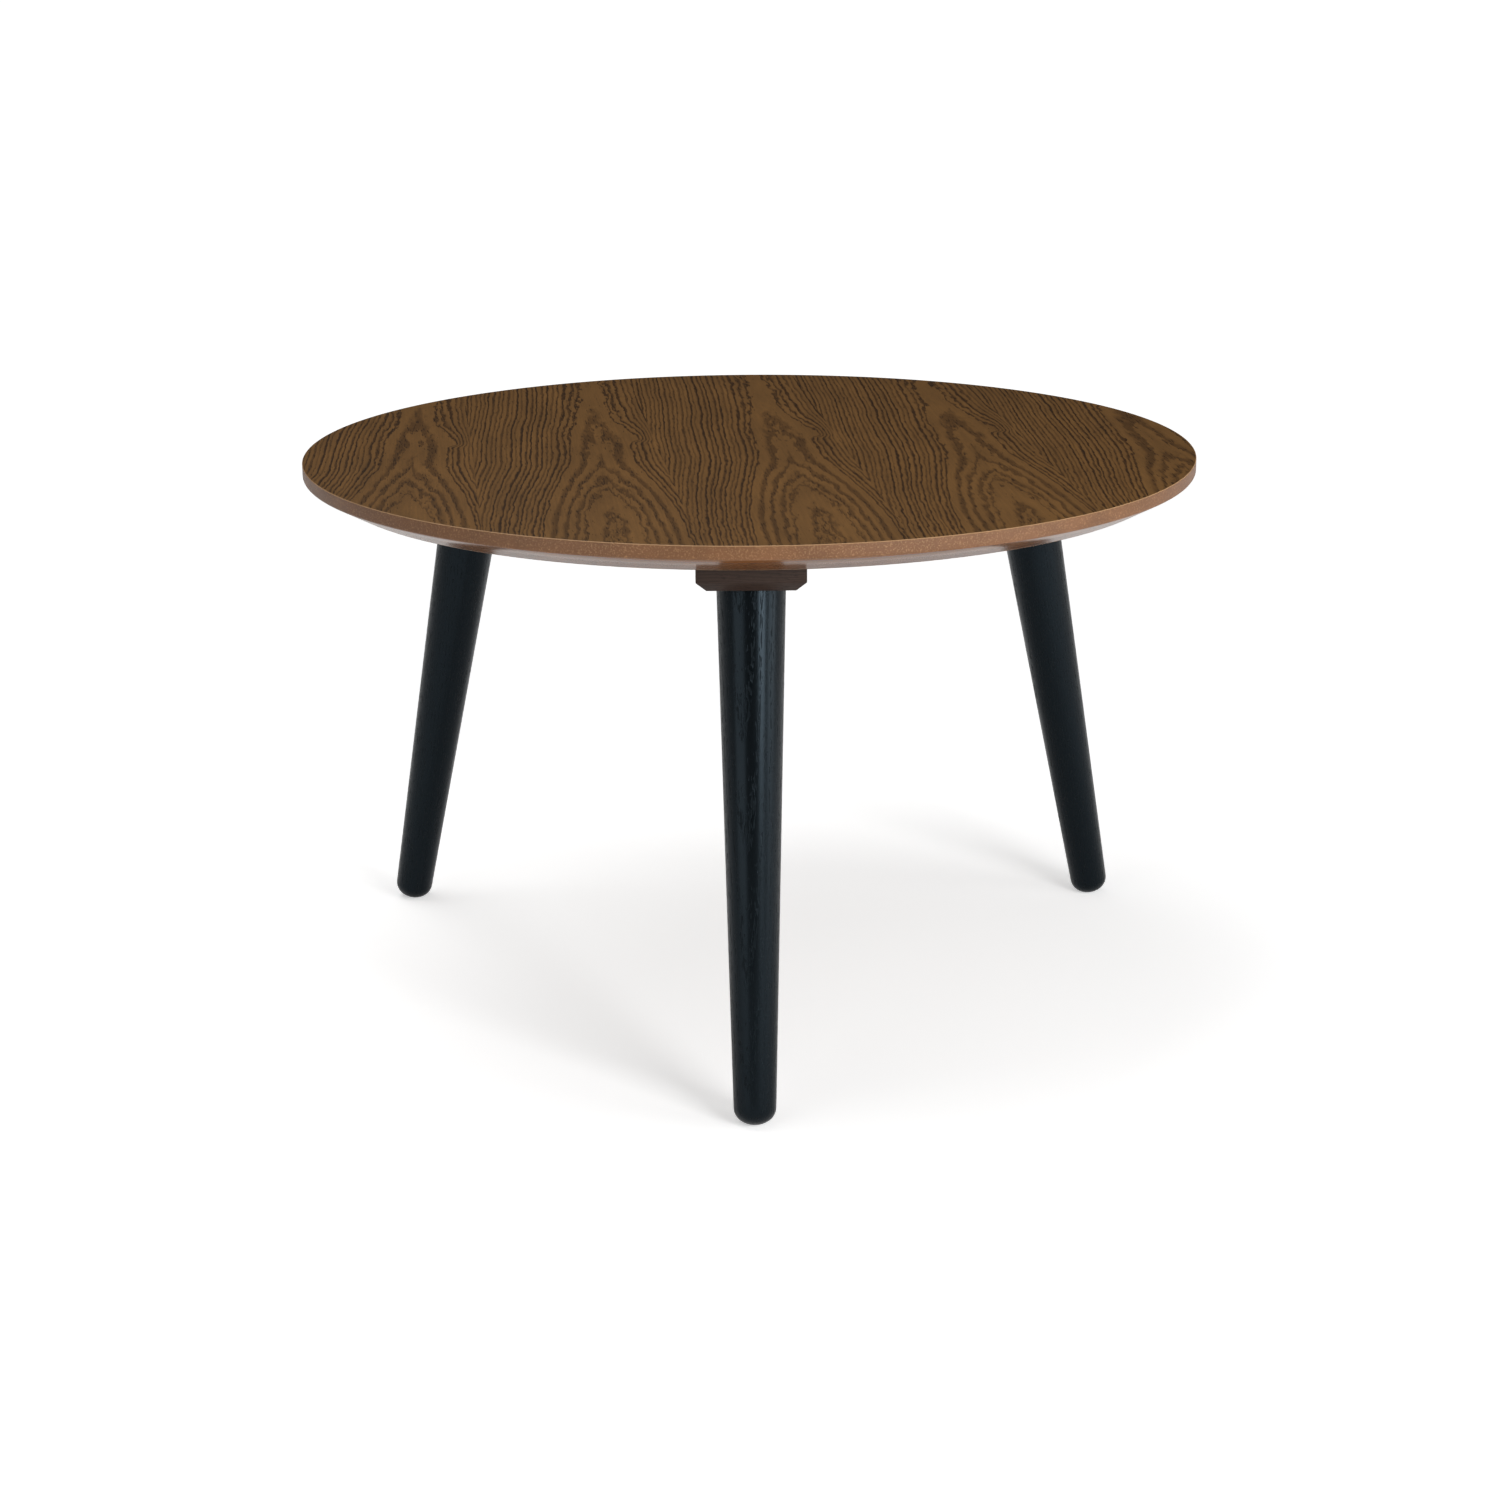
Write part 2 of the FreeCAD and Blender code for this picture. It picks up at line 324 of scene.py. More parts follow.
def ashVeneer():
    v = veneerFinish
    material, tree = newMaterial("ashVeneerWalnutStain")
    lay = addNode(tree, "Attribute", out="Vector", attribute_name="lay")
    layX, layY, layZ = addNode(tree, "SeparateXYZ", {0: lay}).node.outputs

    # the grain wanders slowly, so the arches swell and the flanks wave a little
    wanderSize, wanderReach = v["wander"]
    bend = stretchNoise(tree, lay, wanderSize)
    bend = addNode(tree, "MapRange", {0: bend, 3: -wanderReach, 4: wanderReach})
    lean = addNode(tree, "Math", {0: layY, 1: -v["lean"], 2: bend}, operation="MULTIPLY_ADD")
    across = addNode(tree, "Math", {0: layX, 1: lean}, operation="ADD")

    # how far the heart lies below the cut
    near, far, deepest = v["heart"][0][0], v["heart"][-1][0], v["heart"][-1][1]
    along = addNode(tree, "MapRange", {0: layY, 1: near, 2: far})
    crook = addCurve(tree, along, [((y - near) / (far - near), deep / deepest) for y, deep in v["heart"]])
    depth = addNode(tree, "Math", {0: crook, 1: deepest, 2: layZ}, operation="MULTIPLY_ADD")
    depth = addNode(tree, "Math", {0: depth, 1: v["heartSlice"]}, operation="SUBTRACT")

    # distance from the heart of the log, with the rings drawn to a point over it
    fromHeart = addNode(tree, "Math", {0: across}, operation="ABSOLUTE")
    side = addNode(tree, "Math", {0: fromHeart, 1: v["point"]}, operation="POWER")
    below = addNode(tree, "Math", {0: depth, 1: v["point"]}, operation="POWER")
    radius = addNode(tree, "Math", {0: side, 1: below}, operation="ADD")
    radius = addNode(tree, "Math", {0: radius, 1: 1 / v["point"]}, operation="POWER")

    # fibres cut at a low angle fray the edges of the bands into teeth, most of all over the heart
    calmStart, calmEnd, calmShare = v["calm"]
    calm = addNode(tree, "MapRange", {0: fromHeart, 1: calmStart, 2: calmEnd, 3: 1.0, 4: calmShare})
    fray = addNode(tree, "MapRange", {0: crook, 3: v["fray"], 4: 1.0})
    calm = addNode(tree, "Math", {0: calm, 1: fray}, operation="MULTIPLY")
    for size, reach in v["teeth"]:
        teeth = stretchNoise(tree, lay, size)
        teeth = addNode(tree, "MapRange", {0: teeth, 3: -reach, 4: reach})
        radius = addNode(tree, "Math", {0: teeth, 1: calm, 2: radius}, operation="MULTIPLY_ADD")

    # the small knot draws the lines out to it from one side and lets them go at once on the other
    kinkX, kinkY = v["kink"]
    kinkAcross, kinkAbove, kinkBelow = v["kinkReach"]
    aside = addNode(tree, "Math", {0: across, 1: kinkX}, operation="SUBTRACT")
    aside = addNode(tree, "Math", {0: aside}, operation="ABSOLUTE")
    pull = addNode(tree, "MapRange", {0: aside, 1: kinkAcross, 2: 0.0}, interpolation_type="SMOOTHSTEP")
    for start in (kinkY + kinkAbove, kinkY - kinkBelow):
        slack = addNode(tree, "MapRange", {0: layY, 1: start, 2: kinkY}, interpolation_type="SMOOTHSTEP")
        pull = addNode(tree, "Math", {0: pull, 1: slack}, operation="MULTIPLY")
    radius = addNode(tree, "Math", {0: pull, 1: -v["kinkPull"], 2: radius}, operation="MULTIPLY_ADD")

    # the distance sets the year; each year starts with a dark band that fades outwards
    starts = [0.0, *v["years"]]
    while starts[-1] < v["outermost"]:
        starts.append(starts[-1] + v["outerYears"][len(starts) % len(v["outerYears"])])
    last, outermost = len(starts) - 1, starts[-1]
    share = addNode(tree, "Math", {0: radius, 1: outermost}, operation="DIVIDE")
    steps = []
    for number, (start, end) in enumerate(zip(starts, starts[1:])):
        early = min(v["darkPart"] * (end - start), v["widestBand"])
        steps.append((start / outermost, number / last))
        steps.append(((start + early) / outermost, (number + v["darkPart"]) / last))
    count = addCurve(tree, share, steps + [(1.0, 1.0)], "VECTOR")
    rings = addNode(tree, "Math", {0: count, 1: float(last)}, operation="MULTIPLY")
    year = addNode(tree, "Math", {0: rings}, operation="FRACT")
    fadeStart, fadeEnd = [part * v["darkPart"] for part in v["fade"]]
    fade = addNode(tree, "MapRange", {0: year, 1: fadeStart, 2: fadeEnd, 3: 1.0, 4: 0.0},
                   interpolation_type="SMOOTHSTEP")
    edge = addNode(tree, "MapRange", {0: year, 1: 0.0, 2: v["yearEdge"]}, interpolation_type="SMOOTHSTEP")
    band = addNode(tree, "Math", {0: fade, 1: edge}, operation="MULTIPLY")
    whichYear = addNode(tree, "Math", {0: rings}, operation="FLOOR")
    vigour = addNode(tree, "TexWhiteNoise", {"W": whichYear}, "Value", noise_dimensions="1D")
    weakest, strongest = v["lineStrength"]
    vigour = addNode(tree, "MapRange", {0: vigour, 3: weakest, 4: strongest})
    outside = addNode(tree, "Math", {0: radius, 1: v["years"][-1]}, operation="GREATER_THAN")
    vigour = addNode(tree, "Mix", {0: outside, 2: v["archStrength"], 3: vigour})
    band = addNode(tree, "Math", {0: band, 1: vigour}, operation="MULTIPLY")

    # pores: dashes close together in the bands and few between them
    fewPores, manyPores = v["poreLevel"]
    grit = stretchNoise(tree, lay, v["poreSize"])
    level = addNode(tree, "MapRange", {0: band, 3: fewPores, 4: manyPores})
    pores = addNode(tree, "Math", {0: level, 1: grit}, operation="SUBTRACT")
    pores = addNode(tree, "MapRange", {0: pores, 1: 0.0, 2: v["poreEdge"], 4: v["poreStrength"]},
                    interpolation_type="SMOOTHSTEP")

    # the stain takes unevenly: fine streaks that follow the rings, broad soft clouds,
    # and finer fibres along the grain
    ringPlace = addNode(tree, "CombineXYZ", {0: radius, 1: layY, 2: layZ})
    streaks = stretchNoise(tree, ringPlace, v["streakSize"], detail=4.0)
    clouds = stretchNoise(tree, lay, wanderSize, detail=2.0, scale=v["cloudScale"])
    (patchLow, patchHigh), (dull, bright) = v["tone"]
    tone = addNode(tree, "Math", {0: streaks, 1: clouds}, operation="ADD")
    tone = addNode(tree, "MapRange", {0: tone, 1: patchLow, 2: patchHigh, 3: dull, 4: bright})
    dull, bright = v["fibreTone"]
    fibres = stretchNoise(tree, lay, v["fibreSize"], detail=2.0)
    fibres = addNode(tree, "MapRange", {0: fibres, 1: noiseLow, 2: noiseHigh, 3: dull, 4: bright})
    tone = addNode(tree, "Math", {0: tone, 1: fibres}, operation="MULTIPLY")
    colour = addNode(tree, "Mix", {0: band, 6: hexToLinear(v["lightWood"]), 7: hexToLinear(v["darkBand"])}, 2,
                     data_type="RGBA")
    colour = addNode(tree, "VectorMath", {0: colour, 3: tone}, operation="SCALE")
    colour = addNode(tree, "Mix", {0: pores, 6: colour, 7: hexToLinear(v["poreStain"])}, 2, data_type="RGBA")

    # sanding the rim takes some of the stain off its edge, and its lighter colour also paints in the
    # highlight on the rounded edge: a fine light line, partly wear and partly painted highlight
    wearAndHighlightStart, wearAndHighlightFull = v["wearAndHighlight"]
    facing = addNode(tree, "NewGeometry", out="Normal")
    steep = addNode(tree, "SeparateXYZ", {0: facing}, 2)
    wearAndHighlight = addNode(tree, "MapRange", {0: steep, 1: wearAndHighlightStart, 2: wearAndHighlightFull})
    colour = addNode(tree, "Mix", {0: wearAndHighlight, 6: colour, 7: hexToLinear(v["sandedEdgeAndHighlight"])}, 2, data_type="RGBA")
    rough = addNode(tree, "Math", {0: pores, 1: v["poreRough"], 2: v["roughness"]}, operation="MULTIPLY_ADD")
    sunk = addNode(tree, "Math", {0: band, 1: v["bandSunk"], 2: pores}, operation="MULTIPLY_ADD")
    coatSurface(tree, colour, rough, sunk, v["relief"], {"IOR": lacquerIor, "Specular IOR Level": v["shine"]})
    return material


# medium-density fibreboard, turned, stained walnut and lacquered: a fine light and dark speckle of fibres,
# the square band left satin and the bevel below it rubbed to a gloss
boardFinish = {
    "band": "#724c2e",
    "bevel": "#7d5232",
    "fleck": "#a98157",
    "fleckSize": 1.3,  # mm, drawn twice as coarse as the fibres are
    "fleckLevel": (0.5, 0.7),  # of the noise, where a fleck starts and where it is full
    "fleckStrength": 0.55,
    "cloudSize": 28.0,  # mm
    "cloudTone": (0.88, 1.12),
    "blend": 0.6,  # mm on each side of the corner, from one finish to the other
    "bandRough": 0.42,
    "bevelRough": 0.2,
    "relief": (0.35, 0.1),
    "shine": 0.38,
}


def stainedFibreboard(bevelTop):
    f = boardFinish
    material, tree = newMaterial("fibreboardWalnutStain")
    lay = addNode(tree, "Attribute", out="Vector", attribute_name="lay")
    height = addNode(tree, "SeparateXYZ", {0: lay}, 2)
    square = addNode(tree, "MapRange", {0: height, 1: bevelTop - f["blend"], 2: bevelTop + f["blend"]})
    fibres = addNode(tree, "TexNoise", {"Vector": lay, "Scale": 1 / f["fleckSize"], "Detail": 3.0,
                                        "Roughness": 0.6}, "Fac")
    fleckStart, fleckFull = f["fleckLevel"]
    flecks = addNode(tree, "MapRange", {0: fibres, 1: fleckStart, 2: fleckFull},
                     interpolation_type="SMOOTHSTEP")
    clouds = addNode(tree, "TexNoise", {"Vector": lay, "Scale": 1 / f["cloudSize"], "Detail": 3.0}, "Fac")
    dull, bright = f["cloudTone"]
    tone = addNode(tree, "MapRange", {0: clouds, 1: noiseLow, 2: noiseHigh, 3: dull, 4: bright})
    colour = addNode(tree, "Mix", {0: square, 6: hexToLinear(f["bevel"]), 7: hexToLinear(f["band"])}, 2,
                     data_type="RGBA")
    colour = addNode(tree, "VectorMath", {0: colour, 3: tone}, operation="SCALE")
    flecked = addNode(tree, "Math", {0: flecks, 1: square}, operation="MULTIPLY")
    flecked = addNode(tree, "MapRange", {0: flecked, 3: 0.0, 4: f["fleckStrength"]})
    colour = addNode(tree, "Mix", {0: flecked, 6: colour, 7: hexToLinear(f["fleck"])}, 2, data_type="RGBA")
    rough = addNode(tree, "MapRange", {0: square, 3: f["bevelRough"], 4: f["bandRough"]})
    fuzz = addNode(tree, "Math", {0: fibres, 1: square}, operation="MULTIPLY")
    coatSurface(tree, colour, rough, fuzz, f["relief"], {"IOR": lacquerIor, "Specular IOR Level": f["shine"]},
                pressed=False)
    return material


# turned ash, dyed black and sealed thin so the pores stay open:
# near black, satin between the pores, with short matt furrows along the leg that break up the highlights
blackFinish = {
    "latewood": "#090c0e",
    "earlywood": "#06090b",
    "pore": "#040505",
    "wander": ((40.0, 40.0, 220.0), 4.0),  # size and reach in mm
    "heart": (-74.0, 23.0),  # mm from the middle of the leg to the heart of the log
    "ringWidth": 2.6,
    "fade": (0.2, 0.65),  # of a year, where the early wood starts to fade and where it is gone
    "yearEdge": 0.08,  # of a year, in which the early wood sets in
    "poreSize": (1.0, 1.0, 7.0),  # mm, drawn three times the real width
    "poreLevel": (0.32, 0.5),  # of the noise that opens pores between the bands, and in them
    "poreEdge": 0.07,
    "roughness": 0.25,
    "poreRough": 0.3,  # more in the pores
    "bandSunk": 0.1,  # of the depth of the pores
    "relief": (0.8, 0.12),
    "shine": 0.22,
    "sheen": "#c6e2f6",  # the dye's blue cast in the highlights
}


def blackAsh():
    b = blackFinish
    material, tree = newMaterial("ashBlackDye")
    lay = addNode(tree, "Attribute", out="Vector", attribute_name="lay")
    wanderSize, wanderReach = b["wander"]
    bend = stretchNoise(tree, lay, wanderSize)
    bend = addNode(tree, "MapRange", {0: bend, 3: -wanderReach, 4: wanderReach})
    fromHeart = addNode(tree, "VectorMath", {0: lay, 1: (*b["heart"], 0.0)}, operation="SUBTRACT")
    flat = addNode(tree, "VectorMath", {0: fromHeart, 1: (1, 1, 0)}, operation="MULTIPLY")
    radius = addNode(tree, "VectorMath", {0: flat}, "Value", operation="LENGTH")
    radius = addNode(tree, "Math", {0: radius, 1: bend}, operation="ADD")
    rings = addNode(tree, "Math", {0: radius, 1: b["ringWidth"]}, operation="DIVIDE")
    year = addNode(tree, "Math", {0: rings}, operation="FRACT")
    fadeStart, fadeEnd = b["fade"]
    fade = addNode(tree, "MapRange", {0: year, 1: fadeStart, 2: fadeEnd, 3: 1.0, 4: 0.0},
                   interpolation_type="SMOOTHSTEP")
    edge = addNode(tree, "MapRange", {0: year, 1: 0.0, 2: b["yearEdge"]}, interpolation_type="SMOOTHSTEP")
    band = addNode(tree, "Math", {0: fade, 1: edge}, operation="MULTIPLY")
    fewPores, manyPores = b["poreLevel"]
    grit = stretchNoise(tree, lay, b["poreSize"])
    level = addNode(tree, "MapRange", {0: band, 3: fewPores, 4: manyPores})
    pores = addNode(tree, "Math", {0: level, 1: grit}, operation="SUBTRACT")
    pores = addNode(tree, "MapRange", {0: pores, 1: 0.0, 2: b["poreEdge"]}, interpolation_type="SMOOTHSTEP")
    colour = addNode(tree, "Mix", {0: band, 6: hexToLinear(b["latewood"]), 7: hexToLinear(b["earlywood"])}, 2,
                     data_type="RGBA")
    colour = addNode(tree, "Mix", {0: pores, 6: colour, 7: hexToLinear(b["pore"])}, 2, data_type="RGBA")
    rough = addNode(tree, "Math", {0: pores, 1: b["poreRough"], 2: b["roughness"]}, operation="MULTIPLY_ADD")
    sunk = addNode(tree, "Math", {0: band, 1: b["bandSunk"], 2: pores}, operation="MULTIPLY_ADD")
    coatSurface(tree, colour, rough, sunk, b["relief"],
                {"IOR": lacquerIor, "Specular IOR Level": b["shine"],
                 "Specular Tint": hexToLinear(b["sheen"])})
    return material


# solid beech, planed and stained dark walnut: straight grain along the block, tiny dark flecks, soft satin
blockFinish = {
    "light": "#372922",
    "dark": "#261b16",
    "wander": ((20.0, 90.0, 20.0), 5.0),  # size in mm, and reach in rings
    "slant": 0.35,  # mm that the rings fall for each mm out
    "ringWidth": 2.4,
    "late": (0.3, 0.95),  # of a year, where the late wood starts and where it is darkest
    "lateStrength": 0.6,
    "fleckSize": (0.7, 6.0, 0.7),  # mm, drawn about twice as coarse as the rays of beech
    "fleckLevel": (0.42, 0.32),  # of the noise, where a fleck starts and where it is full
    "roughness": 0.42,
    "fleckRough": 0.15,  # more in the flecks
    "relief": (0.4, 0.04),
    "shine": 0.18,
}


def stainedBlock():
    b = blockFinish
    material, tree = newMaterial("beechWalnutStain")
    lay = addNode(tree, "Attribute", out="Vector", attribute_name="lay")
    axes = addNode(tree, "SeparateXYZ", {0: lay}).node.outputs
    wanderSize, wanderReach = b["wander"]
    bend = stretchNoise(tree, lay, wanderSize)
    rise = addNode(tree, "Math", {0: axes[0], 1: b["slant"], 2: axes[2]}, operation="MULTIPLY_ADD")
    rings = addNode(tree, "Math", {0: rise, 1: b["ringWidth"]}, operation="DIVIDE")
    rings = addNode(tree, "Math", {0: bend, 1: wanderReach, 2: rings}, operation="MULTIPLY_ADD")
    year = addNode(tree, "Math", {0: rings}, operation="FRACT")
    lateStart, lateEnd = b["late"]
    late = addNode(tree, "MapRange", {0: year, 1: lateStart, 2: lateEnd}, interpolation_type="SMOOTHSTEP")
    fleckStart, fleckFull = b["fleckLevel"]
    grit = stretchNoise(tree, lay, b["fleckSize"], detail=2.0)
    flecks = addNode(tree, "MapRange", {0: grit, 1: fleckStart, 2: fleckFull},
                     interpolation_type="SMOOTHSTEP")
    dark = addNode(tree, "Math", {0: late, 1: b["lateStrength"], 2: flecks}, operation="MULTIPLY_ADD",
                   use_clamp=True)
    colour = addNode(tree, "Mix", {0: dark, 6: hexToLinear(b["light"]), 7: hexToLinear(b["dark"])}, 2,
                     data_type="RGBA")
    rough = addNode(tree, "Math", {0: flecks, 1: b["fleckRough"], 2: b["roughness"]},
                    operation="MULTIPLY_ADD")
    coatSurface(tree, colour, rough, flecks, b["relief"],
                {"IOR": lacquerIor, "Specular IOR Level": b["shine"]})
    return material


# ash backing veneer, sanded and given one thin coat: paler and plainer than the face, straight lines
backingFinish = {
    "light": "#7d6148",
    "dark": "#5e4632",
    "grainTurn": 6.0,  # degrees, as on the face
    "lineSize": (4.0 * mm, 260.0 * mm, 1.0),
    "lineLevel": (0.38, 0.64),  # of the noise, from light to dark
    "poreSize": (0.6 * mm, 9.0 * mm, 1.0),  # drawn twice the real width
    "poreLevel": (0.4, 0.33),  # of the noise, where a pore starts and where it is full
    "poreStrength": 0.5,
    "roughness": 0.6,
    "poreRough": 0.15,  # more in the pores
    "relief": (0.4, 0.04),
}


def backingVeneer():
    b = backingFinish
    material, tree = newMaterial("ashBackingVeneer")
    place = addNode(tree, "TexCoord", out="Object")
    laid = addNode(tree, "VectorRotate", {"Vector": place, "Angle": -math.radians(b["grainTurn"])},
                   rotation_type="Z_AXIS")
    lightest, darkest = b["lineLevel"]
    lines = stretchNoise(tree, laid, b["lineSize"], detail=3.0)
    lines = addNode(tree, "MapRange", {0: lines, 1: lightest, 2: darkest}, interpolation_type="SMOOTHSTEP")
    poreStart, poreFull = b["poreLevel"]
    grit = stretchNoise(tree, laid, b["poreSize"])
    pores = addNode(tree, "MapRange", {0: grit, 1: poreStart, 2: poreFull}, interpolation_type="SMOOTHSTEP")
    dark = addNode(tree, "Math", {0: pores, 1: b["poreStrength"], 2: lines}, operation="MULTIPLY_ADD",
                   use_clamp=True)
    colour = addNode(tree, "Mix", {0: dark, 6: hexToLinear(b["light"]), 7: hexToLinear(b["dark"])}, 2,
                     data_type="RGBA")
    rough = addNode(tree, "Math", {0: pores, 1: b["poreRough"], 2: b["roughness"]}, operation="MULTIPLY_ADD")
    coatSurface(tree, colour, rough, pores, b["relief"], {"IOR": lacquerIor})
    return material


# mild steel, rolled or turned and bright zinc plated: pale bluish grey with a faint cloudy spangle
zincFinish = {
    "clear": "#bfc3c8",
    "clouded": "#a4a9b0",
    "spangle": 2.5 * mm,
    "cloudLevel": (0.35, 0.65),  # of the noise, from clear to clouded
    "roughness": 0.3,
    "cloudRough": 0.14,  # more where it is clouded
    "relief": (0.2, 0.02),
}


def zincPlate():
    z = zincFinish
    material, tree = newMaterial("steelZincPlate")
    place = addNode(tree, "TexCoord", out="Object")
    spangle = addNode(tree, "TexNoise", {"Vector": place, "Scale": 1 / z["spangle"], "Detail": 3.0}, "Fac")
    clearest, cloudiest = z["cloudLevel"]
    clouds = addNode(tree, "MapRange", {0: spangle, 1: clearest, 2: cloudiest})
    colour = addNode(tree, "Mix", {0: clouds, 6: hexToLinear(z["clear"]), 7: hexToLinear(z["clouded"])}, 2,
                     data_type="RGBA")
    rough = addNode(tree, "MapRange", {0: clouds, 3: z["roughness"], 4: z["roughness"] + z["cloudRough"]})
    coatSurface(tree, colour, rough, spangle, z["relief"], {"Metallic": 1.0}, pressed=False)
    return material


# the face: five leaves of one flitch, laid side by side from the left
leafShape = {
    "leaves": 5,
    "width": 157.2 * mm,
    "first": 141.8 * mm,
    "grainTurn": 6.0,  # degrees off the line from front to back
    "archLine": 108.0 * mm,  # from a leaf's left joint to the middle of its arches
    "arris": 1.3 * mm,
    # from the bottom up: steps in, as parts of the arris, and up, as parts of the thickness
    "arrisSteps": ((0, 0), (0.06, 0.2), (0.22, 0.62), (0.5, 0.9), (1.0, 1.0)),
    "arcStep": 0.5,  # degrees
    "fewestSteps": 8,
    "weld": 0.0001 * mm,
    "hardAngle": 40,
}


# outline of a leaf between two joints, in the flitch's own directions
def leafLoop(left, right, radius, count):
    left, right = max(left, -radius), min(right, radius)
    turns = [math.acos(right / radius), math.acos(left / radius)]
    back = [turns[0] + (turns[1] - turns[0]) * i / count for i in range(count + 1)]
    front = [-turn for turn in reversed(back)]
    return [(radius * math.cos(a), radius * math.sin(a)) for a in back + front]


def layFace(material):
    s = leafShape
    low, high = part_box("veneer_leaf_3")
    thick = high.z - low.z
    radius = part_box("top_core")[1].x
    turn = Matrix.Rotation(math.radians(s["grainTurn"]), 4, "Z")
    left, right = -radius, s["first"] - radius
    for number in range(s["leaves"]):
        arc = math.acos(max(left, -radius) / radius) - math.acos(min(right, radius) / radius)
        count = max(s["fewestSteps"], round(math.degrees(arc) / s["arcStep"]))
        archLine = right - s["width"] + s["archLine"]
        depth = number * thick  # each leaf is the next slice of the flitch, further from the heart
        bm = bmesh.new()
        loops = []
        for inset, height in s["arrisSteps"]:
            outline = leafLoop(left, right, radius - inset * s["arris"], count)
            loops.append([bm.verts.new((x - archLine, y, depth + height * thick)) for x, y in outline])
        for under, over in zip(loops, loops[1:]):
            for i in range(len(under)):
                j = (i + 1) % len(under)
                bm.faces.new((under[i], under[j], over[j], over[i]))
        bm.faces.new(loops[0][::-1])
        bm.faces.new(loops[-1])
        bmesh.ops.remove_doubles(bm, verts=bm.verts[:], dist=s["weld"])
        mesh = bpy.data.meshes.new(f"veneerLeaf{number + 1}")
        bm.to_mesh(mesh)
        bm.free()
        shadeByAngle(mesh, s["hardAngle"])
        place = turn @ Matrix.Translation((archLine, 0, low.z - depth))
        standPiece(f"veneerLeaf{number + 1}", mesh, material, place, "tabletop",
                   [f"veneer_leaf_{number + 1}"])
        left, right = right, right + s["width"]


layFace(ashVeneer())
print("face: five leaves laid")


# the board: a square band at the rim, a soft corner and a bevel running in below
boardShape = {
    "bandHeight": 11.0 * mm,  # with the veneer
    "bevelInset": 25.0 * mm,
    "cornerRadius": 2.0 * mm,
    "cornerSteps": 8,
    "edgeRing": 12.0 * mm,  # width of the outer ring of faces, above and below
    "segments": 512,
}


def turnBoard():
    s = boardShape
    low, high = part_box("top_core")
    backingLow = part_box("backing_veneer")[0].z
    radius = high.x
    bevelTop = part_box("veneer_leaf_3")[1].z - s["bandHeight"]
    rise = bevelTop - backingLow
    slope = math.atan2(rise, s["bevelInset"])  # of the bevel from level
    lowRadius = radius - s["bevelInset"] + s["bevelInset"] * (low.z - backingLow) / rise
    turnAngle = 90 - math.degrees(slope)
    back = s["cornerRadius"] * math.tan(math.radians(turnAngle) / 2)
    centre = (radius - s["cornerRadius"], bevelTop + back)
    corner = arcPoints(centre, s["cornerRadius"], -turnAngle, 0, s["cornerSteps"])
    rings = [(0, low.z), (lowRadius - s["edgeRing"], low.z), (lowRadius, low.z)] + corner
    rings += [(radius, high.z), (radius - s["edgeRing"], high.z), (0, high.z)]
    blank = turnedMesh("boardBlank", rings, s["segments"])
    cutters = []
    for side in legSides:
        for cutter in screwCutters():
            cutter.transform(blockPlace(side))
            cutters.append(cutter)
    mesh = drill(blank, cutters)
    mesh.name = "board"
    standPiece("board", mesh, stainedFibreboard(bevelTop / mm), Matrix.Identity(4), "tabletop",
               ["top_core"])


turnBoard()
dressNode("backing_veneer", backingVeneer())
print("board: turned, backing veneer finished")


# the legs: tapered, with a small chamfer at the head and a domed foot that stands on a level spot
legShape = {
    "headRadius": 27.0 * mm,
    "headChamfer": 1.0 * mm,
    "headEase": (0.3, 0.4),  # parts of the chamfer in and down, where it is rounded over
    "footRadius": 16.5 * mm,
    "capRadius": 20.0 * mm,
    "capSteps": 20,
    "edgeRadius": 13.0 * mm,
    "edgeSteps": 12,
    "flatDepth": 0.5 * mm,
    "boreRadius": 4.05 * mm,  # for the hanger bolt
    "boreDepth": 45.05 * mm,
    "boreTip": 8.0 * mm,
    "segments": 128,
    "rows": 60,
}


def turnLegs(material):
    s = legShape
    seat = Vector(hinges["front_leg_turn"]["pos_m"])
    splay = -hinges["front_leg_turn"]["axis"][2]  # cosine of the splay
    capHeight = -(seat.z + s["flatDepth"] - s["capRadius"]) / splay
    rimHeight = capHeight - math.sqrt(s["capRadius"] ** 2 - s["footRadius"] ** 2)
    taper = math.atan2(s["headRadius"] - s["footRadius"], -s["headChamfer"] - rimHeight)
    # an arc that touches the dome and the taper eases the one into the other
    drop = s["capRadius"] - s["edgeRadius"]
    lean = Vector((math.cos(taper), -math.sin(taper)))
    start = Vector((s["footRadius"], rimHeight)) - lean * s["edgeRadius"]
    along = Vector((math.sin(taper), math.cos(taper)))
    gap = start - Vector((0, capHeight))
    b, c = gap.dot(along), gap.dot(gap) - drop**2
    centre = start + along * (-b - math.sqrt(b * b - c))
    touch = math.degrees(math.atan2(centre.y - capHeight, centre.x))
    rings = arcPoints((0, capHeight), s["capRadius"], -90, touch, s["capSteps"])
    rings[0] = (0, rings[0][1])
    rings += arcPoints(centre, s["edgeRadius"], touch, -math.degrees(taper), s["edgeSteps"])[1:]
    low, high = Vector(rings[-1]), Vector((s["headRadius"], -s["headChamfer"]))
    rings += [tuple(low.lerp(high, i / s["rows"])) for i in range(1, s["rows"])]
    easeIn, easeDown = s["headEase"]
    rings += [
        (s["headRadius"], -s["headChamfer"]),
        (s["headRadius"] - easeIn * s["headChamfer"], -easeDown * s["headChamfer"]),
        (s["headRadius"] - s["headChamfer"], 0),
        (s["boreRadius"], 0),
        (s["boreRadius"], s["boreTip"] - s["boreDepth"]),
        (0, -s["boreDepth"]),
    ]
    for side in legSides:
        mesh = turnedMesh("leg" + side.title(), rings, s["segments"])
        place = legPlace(side)
        # the level spot: nothing reaches below the floor
        for vertex in mesh.vertices:
            below = (place @ vertex.co).z
            if below < 0:
                vertex.co += place.to_3x3().inverted() @ Vector((0, 0, -below))
        standPiece("leg" + side.title(), mesh, material, place, side + "_leg", ["leg_" + side])


turnLegs(blackAsh())
print("legs: three turned")


